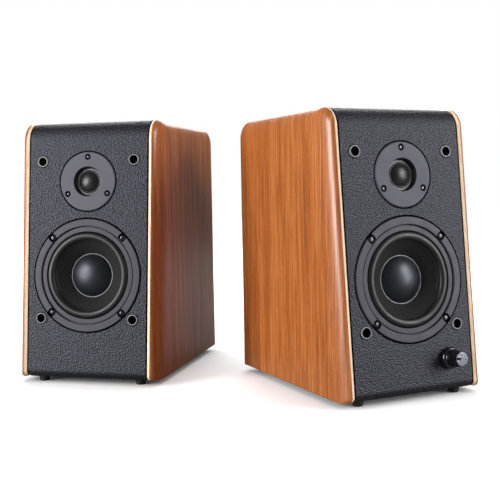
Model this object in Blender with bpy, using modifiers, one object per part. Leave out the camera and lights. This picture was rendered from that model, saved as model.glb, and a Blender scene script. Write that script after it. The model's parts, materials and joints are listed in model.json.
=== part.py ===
"""A pair of powered two-way desktop loudspeakers.

One cabinet (the active one) holds the amplifier, the controls and the inputs. The other
(the passive one) is driven from it. Each sub-part is one closed object, in metres, +Z up,
with the floor at z = 0.

Every speaker has three local frames, each an empty:
  cabinet frame  x to the right seen from the front, y backwards, z up, origin on the floor
                 under the middle of the baffle's foot
  baffle frame   x to the right, y up the sloping baffle, z out of it
  rear frame     x to the right seen from behind, y up, z out of the back panel
"""
import math

import bmesh
import bpy
from mathutils import Matrix, Vector

MM = 0.001

# Cabinet
WIDTH = 150 * MM              # over both side panels
HEIGHT = 261 * MM             # floor to the top of the side panels
DEPTH = 200 * MM              # foot of the baffle to the rear edge
BAFFLE_LEAN = math.radians(5.8)
FOOT_HEIGHT = 5.4 * MM
PANEL_THICKNESS = 11.7 * MM
GAP = 0.3 * MM                # left between pieces that touch
PANEL_PROUD = 0.8 * MM        # how far the side panels stand in front of the black shell
BAFFLE_THICKNESS = 15 * MM
BOARD_THICKNESS = 12 * MM
REAR_LIP = 22 * MM            # how far the shell comes down behind, below its top
FRONT_TOP_RADIUS = 20 * MM
REAR_TOP_RADIUS = 15 * MM
FRONT_FOOT_RADIUS = 8 * MM
PANEL_ROUND_OVER = 8 * MM
BACK_THICKNESS = 10 * MM
BACK_INSET = 3 * MM
FOOT_RADIUS = 5.5 * MM
FOOT_X = 52 * MM
FOOT_FRONT_Y = 15 * MM
FOOT_REAR_Y = 180 * MM

# Places on the baffle: distance up the slope from its foot, and sideways from its middle
WOOFER_UP = 103 * MM
TWEETER_UP = 196.2 * MM
SOCKET_X = 48.7 * MM
SOCKET_UP = (59.8 * MM, 216.8 * MM)
KNOB_X = 37.7 * MM
KNOB_UP = 29.8 * MM

# Drivers
WOOFER_RING_RADIUS = 56.2 * MM
WOOFER_HOLE_RADIUS = 47.5 * MM
TWEETER_PLATE_RADIUS = 29.5 * MM
TWEETER_HOLE_RADIUS = 22 * MM
TWEETER_SCREW_RADIUS = 24.4 * MM
SOCKET_HOLE_RADIUS = 4 * MM
SOCKET_HOLE_DEPTH = 11 * MM
KNOB_HOLE_RADIUS = 4 * MM

# Rear: heights above the floor, and sideways seen from behind
PORT_UP = 203 * MM
PORT_RADIUS = 17 * MM
PORT_LENGTH = 90 * MM
AMP_PLATE_SIZE = (112 * MM, 142 * MM)
AMP_PLATE_UP = 90 * MM
AMP_CUTOUT_SIZE = (100 * MM, 130 * MM)
TONE_KNOB_X = 20 * MM
TONE_KNOB_UP = 140 * MM
RCA_PLACE = (-28 * MM, 106 * MM)
TERMINAL_PLACE = (22 * MM, 106 * MM)
ROCKER_PLACE = (-28 * MM, 45 * MM)
INLET_PLACE = (18 * MM, 45 * MM)
CUP_UP = 100 * MM
PLATE_TOP = 2.5 * MM          # outer face of a rear plate, out from the back panel

# How the passive speaker stands beside the active one
PASSIVE_PLACE = (-241.5 * MM, 213.2 * MM)
PASSIVE_TURN = math.radians(-39.5)

# Row frame: the middle of the pair's box on the floor is the origin
PAIR_MIDDLE = (-112.2 * MM, 199.5 * MM)

SIDEWAYS = (math.pi / 2, 0, math.pi / 2)      # outline x backwards, y up, thickness across
ON_BAFFLE = (math.pi / 2 - BAFFLE_LEAN, 0, 0)
ON_BACK = (math.pi / 2, 0, math.pi)

LARGE_STEPS = 28
MEDIUM_STEPS = 24
SMALL_STEPS = 16

FINISHES = {
    "veneer": ((0.52, 0.24, 0.09), 0.35, 0.0),
    "leatherette": ((0.035, 0.035, 0.038), 0.6, 0.0),
    "black_board": ((0.02, 0.02, 0.02), 0.7, 0.0),
    "rubber": ((0.015, 0.015, 0.015), 0.8, 0.0),
    "satin_plastic": ((0.10, 0.10, 0.11), 0.4, 0.0),
    "black_plastic": ((0.02, 0.02, 0.02), 0.35, 0.0),
    "paper_cone": ((0.03, 0.03, 0.03), 0.75, 0.0),
    "dust_cap": ((0.05, 0.055, 0.06), 0.35, 0.0),
    "steel": ((0.35, 0.35, 0.36), 0.4, 1.0),
    "ferrite": ((0.08, 0.08, 0.08), 0.6, 0.0),
    "copper": ((0.75, 0.36, 0.18), 0.4, 1.0),
    "cloth": ((0.55, 0.42, 0.22), 0.9, 0.0),
    "aluminium": ((0.60, 0.60, 0.62), 0.35, 1.0),
    "circuit_board": ((0.03, 0.20, 0.08), 0.5, 0.0),
    "red_plastic": ((0.55, 0.02, 0.02), 0.4, 0.0),
}


def clear_scene():
    for old in list(bpy.data.objects):
        bpy.data.objects.remove(old, do_unlink=True)


def new_collection(name):
    collection = bpy.data.collections.new(name)
    bpy.context.scene.collection.children.link(collection)
    return collection


def empty(name, parent, location, rotation=(0, 0, 0)):
    frame = bpy.data.objects.new(name, None)
    PARTS.objects.link(frame)
    frame.parent = parent
    frame.location = location
    frame.rotation_euler = rotation
    return frame


def place(name, mesh, parent, location, rotation=(0, 0, 0), finish=None):
    """Adds a mesh as a sub-part with its own material, or as a cutter if it has no finish."""
    piece = bpy.data.objects.new(name, mesh)
    piece.parent = parent
    piece.location = location
    piece.rotation_euler = rotation
    if finish is None:
        CUTTERS.objects.link(piece)
        piece.hide_render = True
        piece.display_type = "WIRE"
        return piece
    PARTS.objects.link(piece)
    colour, roughness, metallic = FINISHES[finish]
    material = bpy.data.materials.new(name + "_" + finish)
    material.use_nodes = True
    shader = material.node_tree.nodes["Principled BSDF"]
    shader.inputs["Base Color"].default_value = (*colour, 1)
    shader.inputs["Roughness"].default_value = roughness
    shader.inputs["Metallic"].default_value = metallic
    mesh.materials.append(material)
    return piece


def to_mesh(name, bm):
    mesh = bpy.data.meshes.new(name)
    bm.to_mesh(mesh)
    bm.free()
    return mesh


def box_mesh(name, size, centre=(0, 0, 0)):
    bm = bmesh.new()
    scale = Matrix.Diagonal((*size, 1))
    bmesh.ops.create_cube(bm, size=1, matrix=Matrix.Translation(centre) @ scale)
    return to_mesh(name, bm)


def cylinders_mesh(name, radius, low, high, centres, segments=SMALL_STEPS):
    """Upright cylinders of one radius between two heights, one at each (x, y)."""
    bm = bmesh.new()
    for x, y in centres:
        middle = Matrix.Translation((x, y, (low + high) / 2))
        bmesh.ops.create_cone(
            bm, cap_ends=True, segments=segments, radius1=radius, radius2=radius,
            depth=high - low, matrix=middle,
        )
    return to_mesh(name, bm)


def signed_area(points):
    pairs = zip(points, points[1:] + points[:1])
    return sum(a[0] * b[1] - b[0] * a[1] for a, b in pairs) / 2


def turned_mesh(name, profile):
    """The half-section of a turned piece, in millimetres as (radius, height)."""
    points = list(profile)
    if signed_area(points) > 0:
        points.reverse()
    on_axis = [i for i, point in enumerate(points) if point[0] == 0]
    if on_axis:
        start = next(i for i in on_axis if points[i - 1][0] == 0)
        points = points[start:] + points[:start]
    bm = bmesh.new()
    ring = [bm.verts.new((r * MM, 0, z * MM)) for r, z in points]
    for a, b in zip(ring, ring[1:]):
        bm.edges.new((a, b))
    if not on_axis:
        bm.edges.new((ring[-1], ring[0]))
    return to_mesh(name, bm)


def turned(name, profile, parent, location, finish, steps=MEDIUM_STEPS, rotation=(0, 0, 0)):
    piece = place(name, turned_mesh(name, profile), parent, location, rotation, finish)
    screw = piece.modifiers.new("Turn", "SCREW")
    screw.axis = "Z"
    screw.angle = math.tau
    screw.steps = steps
    screw.render_steps = steps
    screw.use_merge_vertices = True
    screw.merge_threshold = 0.00001
    screw.use_smooth_shade = False
    return piece


def outline_mesh(name, outlines, thickness, merge_faces=True):
    """A flat piece from 2D outlines in metres: the first is its edge, the others are holes."""
    curve = bpy.data.curves.new(name, "CURVE")
    curve.dimensions = "2D"
    curve.fill_mode = "BOTH"
    curve.extrude = thickness / 2
    for outline in outlines:
        spline = curve.splines.new("POLY")
        spline.points.add(len(outline) - 1)
        for point, (x, y) in zip(spline.points, outline):
            point.co = (x, y, 0, 1)
        spline.use_cyclic_u = True
    flat = bpy.data.objects.new(name + "_outline", curve)
    CUTTERS.objects.link(flat)
    bpy.context.view_layer.update()
    evaluated = flat.evaluated_get(bpy.context.evaluated_depsgraph_get())
    mesh = bpy.data.meshes.new_from_object(evaluated)
    bm = bmesh.new()
    bm.from_mesh(mesh)
    bmesh.ops.remove_doubles(bm, verts=bm.verts, dist=0.00001)
    if merge_faces:
        bmesh.ops.dissolve_limit(bm, angle_limit=0.005, verts=bm.verts, edges=bm.edges)
    bmesh.ops.recalc_face_normals(bm, faces=bm.faces)
    bm.to_mesh(mesh)
    bm.free()
    bpy.data.objects.remove(flat, do_unlink=True)
    bpy.data.curves.remove(curve)
    return mesh


def rounded(corners, segments=5):
    """Points round a polygon whose corners are (x, y, radius)."""
    points = []
    for i, (x, y, radius) in enumerate(corners):
        corner = Vector((x, y))
        if radius == 0:
            points.append((x, y))
            continue
        to_last = (Vector(corners[i - 1][:2]) - corner).normalized()
        to_next = (Vector(corners[(i + 1) % len(corners)][:2]) - corner).normalized()
        half_angle = to_last.angle(to_next) / 2
        centre = corner + (to_last + to_next).normalized() * radius / math.sin(half_angle)
        first = corner + to_last * radius / math.tan(half_angle) - centre
        last = corner + to_next * radius / math.tan(half_angle) - centre
        start = math.atan2(first.y, first.x)
        turn = (math.atan2(last.y, last.x) - start + math.pi) % math.tau - math.pi
        for step in range(segments + 1):
            angle = start + turn * step / segments
            points.append((centre.x + radius * math.cos(angle), centre.y + radius * math.sin(angle)))
    return points


def rectangle(size, centre=(0, 0), radius=0.0, segments=3):
    w, h = size[0] / 2, size[1] / 2
    x, y = centre
    corners = [(x - w, y - h, radius), (x + w, y - h, radius), (x + w, y + h, radius), (x - w, y + h, radius)]
    return rounded(corners, segments)


def circle(radius, centre, segments=MEDIUM_STEPS):
    angles = [math.tau * i / segments for i in range(segments)]
    return [(centre[0] + radius * math.cos(a), centre[1] + radius * math.sin(a)) for a in angles]


def boolean(piece, tool, operation="DIFFERENCE"):
    modifier = piece.modifiers.new(tool.name, "BOOLEAN")
    modifier.operation = operation
    modifier.solver = "EXACT"
    modifier.object = tool


def slope_point(up, out):
    """(y, z) in the cabinet frame of a point up the baffle and out of its plane."""
    y = up * math.sin(BAFFLE_LEAN) - out * math.cos(BAFFLE_LEAN)
    z = FOOT_HEIGHT + up * math.cos(BAFFLE_LEAN) + out * math.sin(BAFFLE_LEAN)
    return y, z


def front_corner(z, out):
    """The point at height z on the plane that lies out from the baffle plane."""
    up = (z - FOOT_HEIGHT - out * math.sin(BAFFLE_LEAN)) / math.cos(BAFFLE_LEAN)
    return slope_point(up, out)


def cabinet_shell(prefix, cabinet, baffle, with_knob):
    """Baffle, top and bottom in one C-shaped length, with the driver and socket holes."""
    top = HEIGHT - PANEL_PROUD
    foot = FOOT_HEIGHT
    outside = [
        (DEPTH, foot, 0),
        (*front_corner(foot, 0), FRONT_FOOT_RADIUS),
        (*front_corner(top, 0), FRONT_TOP_RADIUS),
        (DEPTH, top, REAR_TOP_RADIUS),
        (DEPTH, top - REAR_LIP, 0),
    ]
    inside = [
        (DEPTH - BOARD_THICKNESS, top - REAR_LIP, 0),
        (DEPTH - BOARD_THICKNESS, top - BOARD_THICKNESS, 0),
        (*front_corner(top - BOARD_THICKNESS, -BAFFLE_THICKNESS), 0),
        (*front_corner(foot + BOARD_THICKNESS, -BAFFLE_THICKNESS), 0),
        (DEPTH, foot + BOARD_THICKNESS, 0),
    ]
    half_width = WIDTH / 2 - PANEL_THICKNESS - GAP
    name = prefix + "cabinet_shell"
    mesh = outline_mesh(name, [rounded(outside + inside)], 2 * half_width)
    shell = place(name, mesh, cabinet, (0, 0, 0), SIDEWAYS, "leatherette")
    above = 5 * MM
    through = -BAFFLE_THICKNESS - 5 * MM
    holes = [
        ("woofer_recess", WOOFER_RING_RADIUS + GAP, -4.1 * MM, [(0, WOOFER_UP)], LARGE_STEPS),
        ("woofer_hole", WOOFER_HOLE_RADIUS, through, [(0, WOOFER_UP)], LARGE_STEPS),
        ("tweeter_recess", TWEETER_PLATE_RADIUS + GAP, -3.1 * MM, [(0, TWEETER_UP)], LARGE_STEPS),
        ("tweeter_hole", TWEETER_HOLE_RADIUS, through, [(0, TWEETER_UP)], MEDIUM_STEPS),
        ("grille_sockets", SOCKET_HOLE_RADIUS, -SOCKET_HOLE_DEPTH,
         [(side * SOCKET_X, up) for side in (-1, 1) for up in SOCKET_UP], 12),
    ]
    if with_knob:
        holes.append(("knob_hole", KNOB_HOLE_RADIUS, through, [(KNOB_X, KNOB_UP)], 12))
    for hole, radius, bottom, centres, segments in holes:
        tool_name = prefix + hole
        tool = cylinders_mesh(tool_name, radius, bottom, above, centres, segments)
        boolean(shell, place(tool_name, tool, baffle, (0, 0, 0)))


def side_panel(prefix, cabinet, side):
    """Veneered side panel. Its outer face rolls over to the front and the top."""
    corners = [
        (DEPTH, FOOT_HEIGHT, 0),
        (*front_corner(FOOT_HEIGHT, PANEL_PROUD), 6 * MM),
        (*front_corner(HEIGHT, PANEL_PROUD), FRONT_TOP_RADIUS),
        (DEPTH, HEIGHT, REAR_TOP_RADIUS),
    ]
    name = prefix + ("right" if side > 0 else "left") + "_side_panel"
    mesh = outline_mesh(name, [rounded(corners)], PANEL_THICKNESS)
    outer = side * PANEL_THICKNESS / 2
    lowest_rounded = FOOT_HEIGHT + 5 * MM
    weights = mesh.attributes.new("bevel_weight_edge", "FLOAT", "EDGE")
    for edge in mesh.edges:
        ends = [mesh.vertices[i].co for i in edge.vertices]
        on_outer_face = all(abs(end.z - outer) < 0.01 * MM for end in ends)
        on_rear = all(abs(end.x - DEPTH) < 0.01 * MM for end in ends)
        if on_outer_face and not on_rear and all(end.y > lowest_rounded for end in ends):
            weights.data[edge.index].value = 1.0
    x = side * (WIDTH - PANEL_THICKNESS) / 2
    panel = place(name, mesh, cabinet, (x, 0, 0), SIDEWAYS, "veneer")
    bevel = panel.modifiers.new("Round over", "BEVEL")
    bevel.limit_method = "WEIGHT"
    bevel.width = PANEL_ROUND_OVER
    bevel.segments = 3
    bevel.use_clamp_overlap = False


def back_panel(prefix, cabinet, cutout_size, cutout_up):
    half_width = WIDTH / 2 - PANEL_THICKNESS - GAP
    low = FOOT_HEIGHT + BOARD_THICKNESS + GAP
    high = HEIGHT - PANEL_PROUD - REAR_LIP - GAP
    edge = rectangle((2 * half_width, high - low), (0, (high + low) / 2))
    port_hole = circle(PORT_RADIUS + 2.3 * MM, (0, PORT_UP))
    cutout = rectangle(cutout_size, (0, cutout_up))
    name = prefix + "back_panel"
    mesh = outline_mesh(name, [edge, port_hole, cutout], BACK_THICKNESS, merge_faces=False)
    y = DEPTH - BACK_INSET - BACK_THICKNESS / 2
    place(name, mesh, cabinet, (0, y, 0), ON_BACK, "black_board")


def feet(prefix, cabinet):
    profile = [(0, 5.1), (5.0, 5.1), (5.5, 3.6), (5.2, 0), (0, 0)]
    places = {
        "front_left": (-FOOT_X, FOOT_FRONT_Y),
        "front_right": (FOOT_X, FOOT_FRONT_Y),
        "rear_left": (-FOOT_X, FOOT_REAR_Y),
        "rear_right": (FOOT_X, FOOT_REAR_Y),
    }
    for corner, (x, y) in places.items():
        turned(f"{prefix}{corner}_foot", profile, cabinet, (x, y, 0), "rubber", 12)


def arc_profile(rise, base, rim_radius, radii):
    """Heights on a spherical cap that rises above its base height."""
    sphere = (rim_radius ** 2 + rise ** 2) / (2 * rise)
    centre = base + rise - sphere
    return [(r, centre + math.sqrt(sphere ** 2 - r ** 2)) for r in radii]


def woofer(prefix, baffle):
    """Four-inch woofer. Profiles are (radius, height out of the baffle plane) in mm."""
    axis = empty(prefix + "woofer_axis", baffle, (0, WOOFER_UP, 0))
    here = (0, 0, 0)
    turned(prefix + "woofer_trim_ring",
           [(49.6, 1.0), (55.4, 1.0), (56.2, 0.3), (56.2, -1.9), (48.9, -1.9), (48.9, 0.3)],
           axis, here, "satin_plastic", LARGE_STEPS)
    basket = turned(prefix + "woofer_basket",
                    [(48.5, -0.6), (48.5, -2.2), (55.6, -2.2), (55.6, -3.7), (46.2, -3.7), (45, -10),
                     (36, -32), (36, -45.6), (16.5, -45.6), (16.5, -44), (34.4, -44), (34.4, -32.4),
                     (43.4, -10), (43.4, -0.6)],
                    axis, here, "satin_plastic", LARGE_STEPS)
    window = box_mesh(prefix + "window", (24 * MM, 110 * MM, 17 * MM), (0, 0, -21.5 * MM))
    for number, turn in enumerate((math.pi / 4, -math.pi / 4)):
        tool = place(f"{prefix}basket_windows_{number}", window, axis, here, (0, 0, turn))
        boolean(basket, tool)
    roll = []
    for width, height, steps in ((4.0, 3.6, range(6)), (3.3, 2.9, range(5, -1, -1))):
        for step in steps:
            angle = math.pi * step / 5
            roll.append((39.1 - width * math.cos(angle), -3.0 + height * math.sin(angle)))
    turned(prefix + "woofer_surround", roll, axis, here, "rubber", LARGE_STEPS)
    turned(prefix + "woofer_cone",
           [(34.8, -3.6), (34.8, -4.8), (13.6, -21.5), (13.6, -20.1)],
           axis, here, "paper_cone", LARGE_STEPS)
    cap_radii = [0, 7, 13, 18, 21.3]
    cap = arc_profile(7.8, -13.4, 21.3, cap_radii)
    cap += [(r, z - 0.9) for r, z in arc_profile(7.8, -13.2, 20.3, [20.3, 17, 12, 6, 0])]
    turned(prefix + "woofer_dust_cap", cap, axis, here, "dust_cap")
    turned(prefix + "woofer_voice_coil",
           [(13.2, -18.6), (13.2, -42.5), (13.7, -43), (13.7, -53), (12.6, -53), (12.6, -18.6)],
           axis, here, "copper")
    waves = [(13.6 + 20 * i / 6, -30 + (1.0 if i % 2 else -1.0)) for i in range(7)]
    waves += [(r, z - 0.8) for r, z in reversed(waves)]
    turned(prefix + "woofer_spider", waves, axis, here, "cloth", SMALL_STEPS)
    turned(prefix + "woofer_magnet",
           [(34.5, -45.9), (34.5, -51), (35.5, -51), (35.5, -63.2), (17, -63.2), (17, -51),
            (14.4, -51), (14.4, -45.9)],
           axis, here, "ferrite")
    turned(prefix + "woofer_yoke",
           [(0, -46), (11.9, -46), (11.9, -63.5), (34.5, -63.5), (34.5, -68.5), (0, -68.5)],
           axis, here, "steel")


def tweeter(prefix, baffle):
    """Dome tweeter behind a round faceplate with three screws."""
    axis = empty(prefix + "tweeter_axis", baffle, (0, TWEETER_UP, 0))
    here = (0, 0, 0)
    plate = turned(prefix + "tweeter_faceplate",
                   [(14.8, 0.8), (29.1, 0.8), (29.5, 0.4), (29.5, -2.8), (20.5, -2.8), (20.5, -5.8),
                    (12, -5.8), (12, -4.4), (14, -4.4)],
                   axis, here, "satin_plastic", LARGE_STEPS)
    angles = [math.radians(a) for a in (90, 210, 330)]
    centres = [(TWEETER_SCREW_RADIUS * math.cos(a), TWEETER_SCREW_RADIUS * math.sin(a)) for a in angles]
    recesses = cylinders_mesh(prefix + "recesses", 3 * MM, -1.2 * MM, 3 * MM, centres, 12)
    boolean(plate, place(prefix + "tweeter_screw_recesses", recesses, axis, here))
    dome = arc_profile(3.6, -4.5, 10.2, [0, 4, 7.5, 10.2])
    dome += [(11, -4.0), (11.7, -4.5), (11.7, -5.0), (10.2, -5.0), (10.2, -9.5), (9.7, -9.5)]
    dome += [(r, z - 0.6) for r, z in arc_profile(3.6, -4.5, 9.7, [9.7, 7, 3.5, 0])]
    turned(prefix + "tweeter_dome", dome, axis, here, "paper_cone", SMALL_STEPS)
    turned(prefix + "tweeter_motor",
           [(0, -6.2), (9.2, -6.2), (9.2, -12), (10.8, -12), (10.8, -6.2), (20, -6.2), (20, -24), (0, -24)],
           axis, here, "ferrite", SMALL_STEPS)


def port(prefix, rear):
    """Flared bass port in the back panel. Heights are out from the panel's rear face."""
    inner = PORT_RADIUS / MM
    length = PORT_LENGTH / MM
    outside = [(inner + 7, 2.6), (inner + 7, 0.3), (inner + 2, 0.3), (inner + 2, 3 - length)]
    inside = [(inner, 3 - length), (inner, -5), (inner + 1, -1), (inner + 3.5, 2.2)]
    turned(prefix + "port_tube", outside + inside, rear, (0, PORT_UP, 0), "black_plastic")


def volume_control(prefix, baffle):
    """Front volume knob, moulded on its shaft, and the potentiometer that the shaft enters."""
    axis = empty(prefix + "volume_axis", baffle, (KNOB_X, KNOB_UP, 0))
    turned(prefix + "volume_knob",
           [(0, 18.6), (6.6, 18.6), (7.1, 18), (7.3, 9), (8.4, 5), (10, 3.4), (10, 0.6), (3, 0.6),
            (3, -17.5), (0, -17.5)],
           axis, (0, 0, 0), "black_plastic")
    turned(prefix + "volume_potentiometer",
           [(3.5, -15.4), (8.5, -15.4), (8.5, -24), (0, -24), (0, -18.5), (3.5, -18.5)],
           axis, (0, 0, 0), "steel", SMALL_STEPS)


def tone_knobs(prefix, rear):
    profile = [(0, 14), (5.6, 14), (6.2, 13.2), (6.5, 3.4), (2.8, 3.4), (2.8, -20), (0, -20)]
    for tone, x in (("bass", -TONE_KNOB_X), ("treble", TONE_KNOB_X)):
        axis = empty(f"{prefix}{tone}_axis", rear, (x, TONE_KNOB_UP, 0))
        turned(f"{prefix}{tone}_knob", profile, axis, (0, 0, 0), "black_plastic", SMALL_STEPS)


def amp_plate(prefix, rear):
    thickness = PLATE_TOP - GAP
    outlines = [
        rectangle(AMP_PLATE_SIZE, (0, AMP_PLATE_UP), 4 * MM),
        circle(3.2 * MM, (-TONE_KNOB_X, TONE_KNOB_UP), 12),
        circle(3.2 * MM, (TONE_KNOB_X, TONE_KNOB_UP), 12),
        rectangle((30.6 * MM, 30.6 * MM), RCA_PLACE),
        rectangle((44.6 * MM, 26.6 * MM), TERMINAL_PLACE),
        rectangle((15.6 * MM, 24.6 * MM), ROCKER_PLACE),
        rectangle((28.6 * MM, 20.6 * MM), INLET_PLACE),
    ]
    mesh = outline_mesh(prefix + "amp_plate", outlines, thickness, merge_faces=False)
    place(prefix + "amp_plate", mesh, rear, (0, 0, GAP + thickness / 2), (0, 0, 0), "aluminium")


def rca_block(prefix, rear):
    """Four phono sockets in two rows."""
    x, y = RCA_PLACE
    name = prefix + "rca_block"
    block = place(name, box_mesh(name, (30 * MM, 30 * MM, 18 * MM)), rear, (x, y, -5 * MM),
                  (0, 0, 0), "black_plastic")
    centres = [(a * 7.5 * MM, b * 7.5 * MM) for a in (-1, 1) for b in (-1, 1)]
    barrels = cylinders_mesh(prefix + "barrels", 4.2 * MM, 3 * MM, 12 * MM, centres, 12)
    bores = cylinders_mesh(prefix + "bores", 1.7 * MM, 4 * MM, 13 * MM, centres, 8)
    boolean(block, place(prefix + "rca_barrels", barrels, rear, (x, y, 0)), "UNION")
    boolean(block, place(prefix + "rca_bores", bores, rear, (x, y, 0)))


LEVER_X = 10 * MM             # each side of the block's middle
LEVER_PIVOT = (6.6 * MM, 3.5 * MM)    # up from the block's middle, and out


def spring_terminals(prefix, rear, centre, name, plate_size=None):
    """Block of two spring-clip terminals, with a plate round it if a size is given."""
    x, y = centre
    block = place(name, box_mesh(name, (44 * MM, 26 * MM, 13 * MM)), rear, (x, y, -1.5 * MM),
                  (0, 0, 0), "black_plastic")
    if plate_size:
        thickness = PLATE_TOP - GAP
        outline = rectangle(plate_size, (0, 0), 4 * MM)
        plate = outline_mesh(prefix + "cup_plate", [outline], thickness)
        boolean(block, place(prefix + "cup_plate", plate, rear, (x, y, GAP + thickness / 2)), "UNION")
    wires = cylinders_mesh(prefix + "wires", 1.6 * MM, -4 * MM, 8 * MM,
                           [(-LEVER_X, -10.4 * MM), (LEVER_X, -10.4 * MM)], 8)
    boolean(block, place(prefix + "wire_holes", wires, rear, (x, y, 0)))
    for side, sign in (("left", -1), ("right", 1)):
        pocket = box_mesh(prefix + side + "_pocket", (10.6 * MM, 18 * MM, 13 * MM),
                          (0, 1 * MM, 1.5 * MM))
        middle = (x + sign * LEVER_X, y, 0)
        boolean(block, place(f"{prefix}{side}_lever_pocket", pocket, rear, middle))
        up, out = LEVER_PIVOT
        pivot = empty(f"{prefix}{side}_lever_pivot", rear, (middle[0], y + up, out))
        lever_name = f"{prefix}{side}_terminal_lever"
        lever = box_mesh(lever_name, (10 * MM, 15 * MM, 5 * MM), (0, -6.1 * MM, 0))
        place(lever_name, lever, pivot, (0, 0, 0), (0, 0, 0), "red_plastic" if sign > 0 else "black_plastic")


def power_switch(prefix, rear):
    x, y = ROCKER_PLACE
    name = prefix + "switch_housing"
    housing = place(name, box_mesh(name, (15 * MM, 24 * MM, 20 * MM)), rear, (x, y, -6.5 * MM),
                    (0, 0, 0), "black_plastic")
    pocket = box_mesh(prefix + "pocket", (11.6 * MM, 20.6 * MM, 14 * MM), (0, 0, -1 * MM))
    boolean(housing, place(prefix + "rocker_pocket", pocket, rear, (x, y, 0)))
    pivot = empty(prefix + "rocker_pivot", rear, (x, y, 1.5 * MM))
    half = 9.4 * MM
    side_view = [(-half, 3 * MM), (0, 2.2 * MM), (half, 3 * MM), (half, -1 * MM), (0, -3 * MM),
                 (-half, -1 * MM)]
    tilt = math.radians(8)
    turned_view = [(a * math.cos(tilt) - b * math.sin(tilt), a * math.sin(tilt) + b * math.cos(tilt))
                   for a, b in side_view]
    rocker = outline_mesh(prefix + "power_rocker", [turned_view], 11 * MM)
    rotation = (math.pi / 2, 0, math.pi / 2)
    place(prefix + "power_rocker", rocker, pivot, (0, 0, 0), rotation, "black_plastic")


def mains_inlet(prefix, rear):
    """Two-pin figure-eight inlet."""
    x, y = INLET_PLACE
    name = prefix + "mains_inlet"
    inlet = place(name, box_mesh(name, (28 * MM, 20 * MM, 21.5 * MM)), rear, (x, y, -7.25 * MM),
                  (0, 0, 0), "black_plastic")
    recess = outline_mesh(prefix + "recess", [rectangle((17.4 * MM, 9 * MM), (0, 0), 4.4 * MM)], 17 * MM)
    boolean(inlet, place(prefix + "inlet_recess", recess, rear, (x, y, -3.5 * MM)))
    pins = cylinders_mesh(prefix + "pins", 1.2 * MM, -13 * MM, -2 * MM, [(-4.3 * MM, 0), (4.3 * MM, 0)], 8)
    boolean(inlet, place(prefix + "inlet_pins", pins, rear, (x, y, 0)), "UNION")


def board(name, rear, size, centre, out, blocks, cans, finish="circuit_board"):
    """Circuit board with its components joined on: boxes behind it and upright cans before it."""
    sheet = place(name, box_mesh(name, (*size, 1.6 * MM)), rear, (*centre, out), (0, 0, 0), finish)
    for number, (place_at, block_size, block_out) in enumerate(blocks):
        tool = box_mesh(f"{name}_block_{number}", block_size)
        boolean(sheet, place(f"{name}_block_{number}", tool, rear, (*place_at, block_out)), "UNION")
    radius, low, high, centres = cans
    tool = cylinders_mesh(name + "_cans", radius, low, high, centres, 12)
    boolean(sheet, place(name + "_cans", tool, rear, (0, 0, 0)), "UNION")


def amplifier(prefix, rear):
    pot = (14 * MM, 14 * MM, 11 * MM)
    blocks = [((x, TONE_KNOB_UP), pot, -25.9 * MM) for x in (-TONE_KNOB_X, TONE_KNOB_X)]
    cans = (8 * MM, -57 * MM, -31 * MM, [(-25 * MM, 112 * MM), (25 * MM, 112 * MM)])
    board(prefix + "amp_board", rear, (94 * MM, 104 * MM), (0, 97 * MM), -31.2 * MM, blocks, cans)
    name = prefix + "transformer"
    core = place(name, box_mesh(name, (58 * MM, 47 * MM, 26 * MM)), rear, (0, 42 * MM, -66 * MM),
                 (0, 0, 0), "steel")
    winding = box_mesh(prefix + "winding", (34 * MM, 34 * MM, 46 * MM))
    boolean(core, place(prefix + "transformer_winding", winding, rear, (0, 42 * MM, -66 * MM)), "UNION")


def crossover(prefix, rear):
    blocks = [((14 * MM, 60 * MM), (12 * MM, 26 * MM, 12 * MM), -17 * MM)]
    cans = (10 * MM, -25 * MM, -11.5 * MM, [(-14 * MM, 60 * MM), (-14 * MM, 38 * MM)])
    board(prefix + "crossover_board", rear, (60 * MM, 50 * MM), (0, 50 * MM), -11.8 * MM, blocks, cans)


def speaker(prefix, pair, location, turn, active):
    cabinet = empty(prefix + "cabinet_frame", pair, (*location, 0), (0, 0, turn))
    baffle = empty(prefix + "baffle_frame", cabinet, (0, 0, FOOT_HEIGHT), ON_BAFFLE)
    rear = empty(prefix + "rear_frame", cabinet, (0, DEPTH - BACK_INSET, 0), ON_BACK)
    cabinet_shell(prefix, cabinet, baffle, with_knob=active)
    for side in (-1, 1):
        side_panel(prefix, cabinet, side)
    feet(prefix, cabinet)
    woofer(prefix, baffle)
    tweeter(prefix, baffle)
    port(prefix, rear)
    if active:
        back_panel(prefix, cabinet, AMP_CUTOUT_SIZE, AMP_PLATE_UP)
        volume_control(prefix, baffle)
        tone_knobs(prefix, rear)
        amp_plate(prefix, rear)
        rca_block(prefix, rear)
        spring_terminals(prefix, rear, TERMINAL_PLACE, prefix + "terminal_block")
        power_switch(prefix, rear)
        mains_inlet(prefix, rear)
        amplifier(prefix, rear)
    else:
        back_panel(prefix, cabinet, (50 * MM, 32 * MM), CUP_UP)
        spring_terminals(prefix, rear, (0, CUP_UP), prefix + "terminal_cup", (76 * MM, 60 * MM))
        crossover(prefix, rear)


clear_scene()
PARTS = new_collection("desktop_speakers")
CUTTERS = new_collection("cutters")
PAIR = empty("pair_frame", None, (-PAIR_MIDDLE[0], -PAIR_MIDDLE[1], 0))
speaker("active_", PAIR, (0, 0), 0, True)
speaker("passive_", PAIR, PASSIVE_PLACE, PASSIVE_TURN, False)
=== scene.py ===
"""Looks of a pair of powered desktop loudspeakers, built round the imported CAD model.

Each speaker has the local frames that its solids were designed in, found here from the
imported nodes. Local sizes are in millimetres until a mesh is made.
"""

import json
import math

import bmesh
import bpy
import numpy as np
from mathutils import Matrix, Vector


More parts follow.
